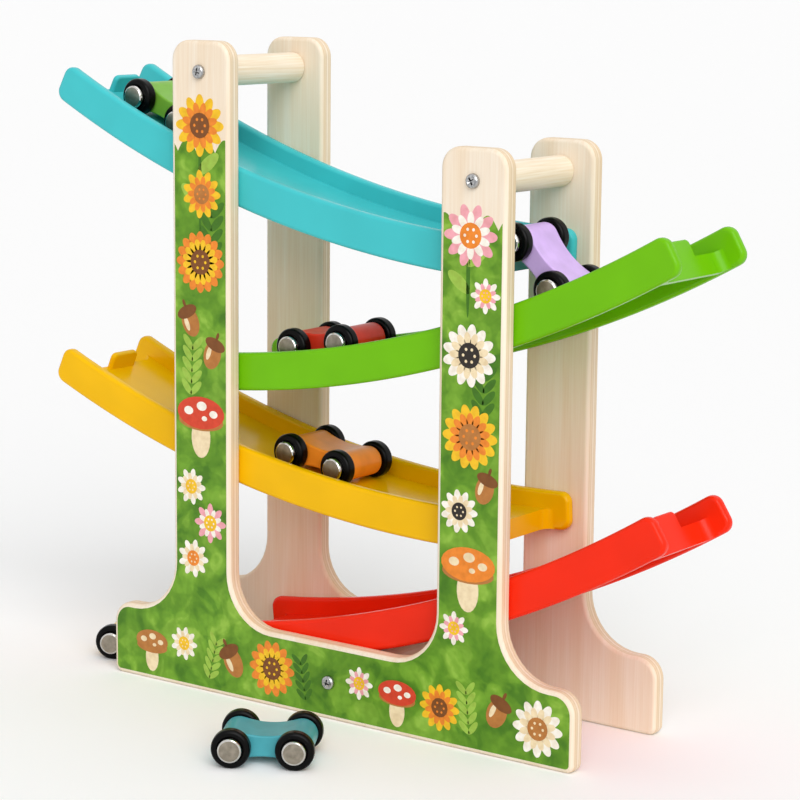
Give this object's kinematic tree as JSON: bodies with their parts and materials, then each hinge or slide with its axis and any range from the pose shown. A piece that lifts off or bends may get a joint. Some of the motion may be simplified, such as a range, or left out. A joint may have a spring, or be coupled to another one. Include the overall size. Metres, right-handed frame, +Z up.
{
  "type": "toy car slide track",
  "caption": "Wooden toy car slide track with curved plastic ramps set zigzag between two plywood panels, and small wooden cars that run down them and flip over at each drop.",
  "frame": {"origin": "the middle of the front panel's underside, where it stands on the floor", "axes": "+X along the panels from the taller uprights to the shorter ones, +Y from the front panel to the rear one, +Z up"},
  "size_m": [0.3428, 0.1646, 0.302],
  "materials": {
    "birch_plywood": "printed front, clear satin lacquer",
    "birch_dowel": "sanded",
    "screw_steel": "zinc plated",
    "blue_plastic": "moulded gloss",
    "green_plastic": "moulded gloss",
    "yellow_plastic": "moulded gloss",
    "red_plastic": "moulded gloss",
    "green_painted_wood": "satin paint",
    "red_painted_wood": "satin paint",
    "orange_painted_wood": "satin paint",
    "purple_painted_wood": "satin paint",
    "teal_painted_wood": "satin paint",
    "yellow_painted_wood": "satin paint",
    "hub_metal": "turned and plated",
    "tyre_rubber": "matt"
  },
  "bodies": {
    "stand": {"front_panel": "birch_plywood", "rear_panel": "birch_plywood", "left_dowel": "birch_dowel", "right_dowel": "birch_dowel", "base_dowel": "birch_dowel", "front_left_screw": "screw_steel", "front_right_screw": "screw_steel", "front_base_screw": "screw_steel", "rear_left_screw": "screw_steel", "rear_right_screw": "screw_steel", "rear_base_screw": "screw_steel", "blue_ramp": "blue_plastic", "green_ramp": "green_plastic", "yellow_ramp": "yellow_plastic", "red_ramp": "red_plastic"},
    "green_car": {"green_car_body": "green_painted_wood"},
    "green_car_front_wheels": {"green_car_front_wheelset": "hub_metal", "green_car_front_left_tyre": "tyre_rubber", "green_car_front_right_tyre": "tyre_rubber"},
    "green_car_rear_wheels": {"green_car_rear_wheelset": "hub_metal", "green_car_rear_left_tyre": "tyre_rubber", "green_car_rear_right_tyre": "tyre_rubber"},
    "red_car": {"red_car_body": "red_painted_wood"},
    "red_car_front_wheels": {"red_car_front_wheelset": "hub_metal", "red_car_front_left_tyre": "tyre_rubber", "red_car_front_right_tyre": "tyre_rubber"},
    "red_car_rear_wheels": {"red_car_rear_wheelset": "hub_metal", "red_car_rear_left_tyre": "tyre_rubber", "red_car_rear_right_tyre": "tyre_rubber"},
    "orange_car": {"orange_car_body": "orange_painted_wood"},
    "orange_car_front_wheels": {"orange_car_front_wheelset": "hub_metal", "orange_car_front_left_tyre": "tyre_rubber", "orange_car_front_right_tyre": "tyre_rubber"},
    "orange_car_rear_wheels": {"orange_car_rear_wheelset": "hub_metal", "orange_car_rear_left_tyre": "tyre_rubber", "orange_car_rear_right_tyre": "tyre_rubber"},
    "purple_car": {"purple_car_body": "purple_painted_wood"},
    "purple_car_front_wheels": {"purple_car_front_wheelset": "hub_metal", "purple_car_front_left_tyre": "tyre_rubber", "purple_car_front_right_tyre": "tyre_rubber"},
    "purple_car_rear_wheels": {"purple_car_rear_wheelset": "hub_metal", "purple_car_rear_left_tyre": "tyre_rubber", "purple_car_rear_right_tyre": "tyre_rubber"},
    "teal_car": {"teal_car_body": "teal_painted_wood"},
    "teal_car_front_wheels": {"teal_car_front_wheelset": "hub_metal", "teal_car_front_left_tyre": "tyre_rubber", "teal_car_front_right_tyre": "tyre_rubber"},
    "teal_car_rear_wheels": {"teal_car_rear_wheelset": "hub_metal", "teal_car_rear_left_tyre": "tyre_rubber", "teal_car_rear_right_tyre": "tyre_rubber"},
    "yellow_car": {"yellow_car_body": "yellow_painted_wood"},
    "yellow_car_front_wheels": {"yellow_car_front_wheelset": "hub_metal", "yellow_car_front_left_tyre": "tyre_rubber", "yellow_car_front_right_tyre": "tyre_rubber"},
    "yellow_car_rear_wheels": {"yellow_car_rear_wheelset": "hub_metal", "yellow_car_rear_left_tyre": "tyre_rubber", "yellow_car_rear_right_tyre": "tyre_rubber"}
  },
  "joints": [
    {"name": "green_car_run", "type": "hinge", "parent": "stand", "child": "green_car", "pos_m": [0.09638, 0.034, 0.77352], "axis": [0, -1, 0], "range_deg": [-1, 17.4]},
    {"name": "red_car_run", "type": "hinge", "parent": "stand", "child": "red_car", "pos_m": [-0.11207, 0.034, 0.70872], "axis": [0, 1, 0], "range_deg": [-9.6, 3]},
    {"name": "orange_car_run", "type": "hinge", "parent": "stand", "child": "orange_car", "pos_m": [0.05804, 0.034, 0.65531], "axis": [0, -1, 0], "range_deg": [-11, 8]},
    {"name": "purple_car_flip", "type": "hinge", "parent": "stand", "child": "purple_car", "pos_m": [0.09997, 0.034, 0.20156], "axis": [0, 1, 0], "range_deg": [0, 111.4]},
    {"name": "teal_car_roll", "type": "slide", "parent": "stand", "child": "teal_car", "axis": [0.8616, 0.5075, 0], "range_m": [-0.15, 0.05]},
    {"name": "yellow_car_roll", "type": "slide", "parent": "stand", "child": "yellow_car", "axis": [-0.9205, -0.3907, 0], "range_m": [-0.01, 0.15]},
    {"name": "green_car_front_wheels_turn", "type": "hinge", "parent": "green_car", "child": "green_car_front_wheels", "pos_m": [-0.10708, 0.034, 0.26286], "axis": [0, 1, 0], "continuous": true},
    {"name": "green_car_rear_wheels_turn", "type": "hinge", "parent": "green_car", "child": "green_car_rear_wheels", "pos_m": [-0.13236, 0.034, 0.27367], "axis": [0, 1, 0], "continuous": true},
    {"name": "red_car_front_wheels_turn", "type": "hinge", "parent": "red_car", "child": "red_car_front_wheels", "pos_m": [-0.03941, 0.034, 0.16384], "axis": [0, 1, 0], "continuous": true},
    {"name": "red_car_rear_wheels_turn", "type": "hinge", "parent": "red_car", "child": "red_car_rear_wheels", "pos_m": [-0.01225, 0.034, 0.16815], "axis": [0, 1, 0], "continuous": true},
    {"name": "orange_car_front_wheels_turn", "type": "hinge", "parent": "orange_car", "child": "orange_car_front_wheels", "pos_m": [-0.01387, 0.034, 0.11033], "axis": [0, 1, 0], "continuous": true},
    {"name": "orange_car_rear_wheels_turn", "type": "hinge", "parent": "orange_car", "child": "orange_car_rear_wheels", "pos_m": [-0.04103, 0.034, 0.11461], "axis": [0, 1, 0], "continuous": true},
    {"name": "purple_car_front_wheels_turn", "type": "hinge", "parent": "purple_car", "child": "purple_car_front_wheels", "pos_m": [0.09997, 0.034, 0.20156], "axis": [0, 1, 0], "continuous": true},
    {"name": "purple_car_rear_wheels_turn", "type": "hinge", "parent": "purple_car", "child": "purple_car_rear_wheels", "pos_m": [0.08019, 0.034, 0.22067], "axis": [0, 1, 0], "continuous": true},
    {"name": "teal_car_front_wheels_turn", "type": "hinge", "parent": "teal_car", "child": "teal_car_front_wheels", "pos_m": [0.02515, -0.05702, 0.0085], "axis": [-0.5075, 0.8616, 0], "continuous": true},
    {"name": "teal_car_rear_wheels_turn", "type": "hinge", "parent": "teal_car", "child": "teal_car_rear_wheels", "pos_m": [0.00145, -0.07098, 0.0085], "axis": [-0.5075, 0.8616, 0], "continuous": true},
    {"name": "yellow_car_front_wheels_turn", "type": "hinge", "parent": "yellow_car", "child": "yellow_car_front_wheels", "pos_m": [-0.12534, 0.03537, 0.0085], "axis": [-0.3907, 0.9205, 0], "continuous": true},
    {"name": "yellow_car_rear_wheels_turn", "type": "hinge", "parent": "yellow_car", "child": "yellow_car_rear_wheels", "pos_m": [-0.15066, 0.02463, 0.0085], "axis": [-0.3907, 0.9205, 0], "continuous": true}
  ]
}
